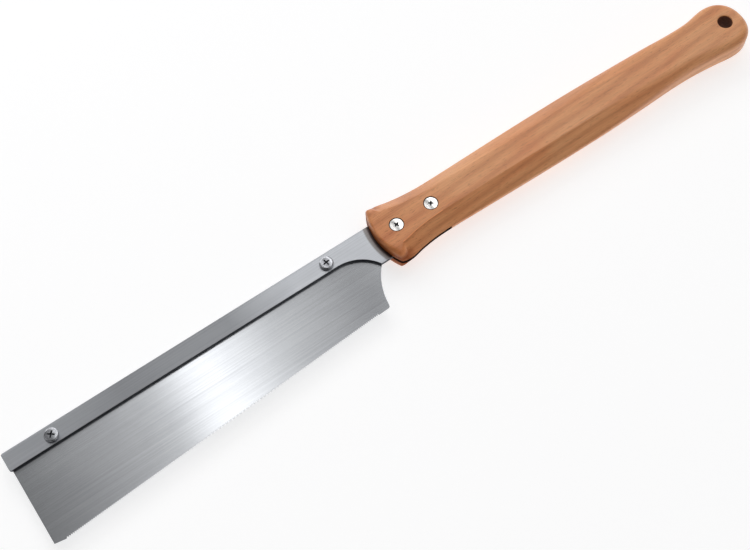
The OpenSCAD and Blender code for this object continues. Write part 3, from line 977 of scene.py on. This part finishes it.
def make_floor():
    """A pale floor just below the saw, lit a little from within."""
    half, z = FLOOR_HALF, cad_box[0][2] - FLOOR_DROP
    corners = [(-half, -half, z), (half, -half, z), (half, half, z), (-half, half, z)]
    floor = new_object("floor", mesh_from("floor", corners, [(0, 1, 2, 3)]))
    paint = new_material(
        "floor", Base_Color=(0.50, 0.50, 0.505, 1), Emission_Color=(1, 1, 1, 1),
        Emission_Strength=0.68, Roughness=0.9, Specular_IOR_Level=0.2)[0]
    floor.data.materials.append(paint)


# ---------------------------------------------------------------- assembly

def put(piece, cad_node, slot, paint, *inner):
    """Gives a piece its materials and lets it stand for a CAD node. Each
    inner entry is another paint and the test for the faces that take it."""
    piece.data.materials.clear()
    piece.data.materials.append(paint)
    for k, (other, inside) in enumerate(inner, 1):
        piece.data.materials.append(other)
        for face in piece.data.polygons:
            if inside(face):
                face.material_index = k
    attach(piece, "root")
    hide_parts(cad_node)


make_camera()
set_world()
make_floor()
make_key_light()

# The wood takes painted shade round the rim of the nose, and a painted sheen on the face further
# back.
wood_paint = wood("lacquered_wood", 1.0)
# A painted highlight for the strip along the belly side's ridge.
ridge_highlight_paint = wood("painted_ridge_highlight", 1.45)
# Painted shade for the walls of the kerf and the screw recesses, and for the hanging hole.
cut_shade_paint = cut_wall_shade("painted_cut_shade", (0.035, 0.014, 0.008), (0.11, 0.042, 0.022))
hole_shade_paint = cut_wall_shade("painted_hole_shade", (0.13, 0.05, 0.03), (0.34, 0.15, 0.09))
# The plate's paint carries painted reflection along the spine, and painted shade and reflection
# beside the nose.
plate_paint = ground_steel("satin_steel", (0.54, 0.556, 0.585), rough=0.33, swing=0.04,
                           depth=0.000003, fine=1500, anisotropy=0.5, reflection_tone=0.53)
blade_paint = ground_steel("blade_steel", (0.61, 0.626, 0.65), rough=0.17, swing=0.03,
                           depth=0.0000012, fine=1900, anisotropy=0.95)
screw_paint = plated("zinc_screw", (0.50, 0.51, 0.54), 0.16)
zinc_paint = plated("zinc_hardware", (0.66, 0.67, 0.70), 0.36)
nickel_paint = plated("nickel_head", (0.86, 0.85, 0.83), 0.12)
# Painted shade inside the cross recesses and the nuts' slots.
recess_shade_paint = plated("painted_recess_shade", (0.13, 0.135, 0.15), 0.5)
# Painted shade on the plate's side walls.
side_shade_paint = plated("painted_side_shade", (0.09, 0.095, 0.11), 0.45)

handle, cut_shade, hole_shade, ridge_highlight = make_handle()
put(handle, "handle", "lacquered_wood", wood_paint,
    (cut_shade_paint, cut_shade), (hole_shade_paint, hole_shade), (ridge_highlight_paint, ridge_highlight))
plate, shaded_sides = make_plate()
put(plate, "back_plate", "satin_steel", plate_paint, (side_shade_paint, shaded_sides))
put(make_blade(), "saw_blade", "blade_steel", blade_paint)
# The turns, in degrees, are of each screw's cross and of its nut's flats or slot.
for end, screw_turn, nut_turn in (("toe", 51, 8), ("heel", 10, 23)):
    screw, washer, nut = end + "_clamp_screw", end + "_clamp_washer", end + "_clamp_nut"
    piece, inside = make_pan_screw(screw, "pan_screw_" + end, math.radians(screw_turn))
    put(piece, screw, "zinc_screw", screw_paint, (recess_shade_paint, inside))
    put(make_washer(washer, "washer_" + end), washer, "zinc_hardware", zinc_paint)
    put(make_nut(nut, "hex_nut_" + end, math.radians(nut_turn)), nut, "zinc_hardware", zinc_paint)
for end, screw_turn, slot_turn in (("front", 20, 35), ("rear", 52, -20)):
    screw, nut = end + "_handle_screw", end + "_sleeve_nut"
    piece, inside = make_flush_screw(screw, "flush_screw_" + end, math.radians(screw_turn))
    put(piece, screw, "nickel_head", nickel_paint, (recess_shade_paint, inside))
    piece, inside = make_sleeve_nut(nut, "slotted_nut_" + end, math.radians(slot_turn))
    put(piece, nut, "nickel_head", nickel_paint, (recess_shade_paint, inside))

bpy.context.scene.view_settings.view_transform = "Standard"
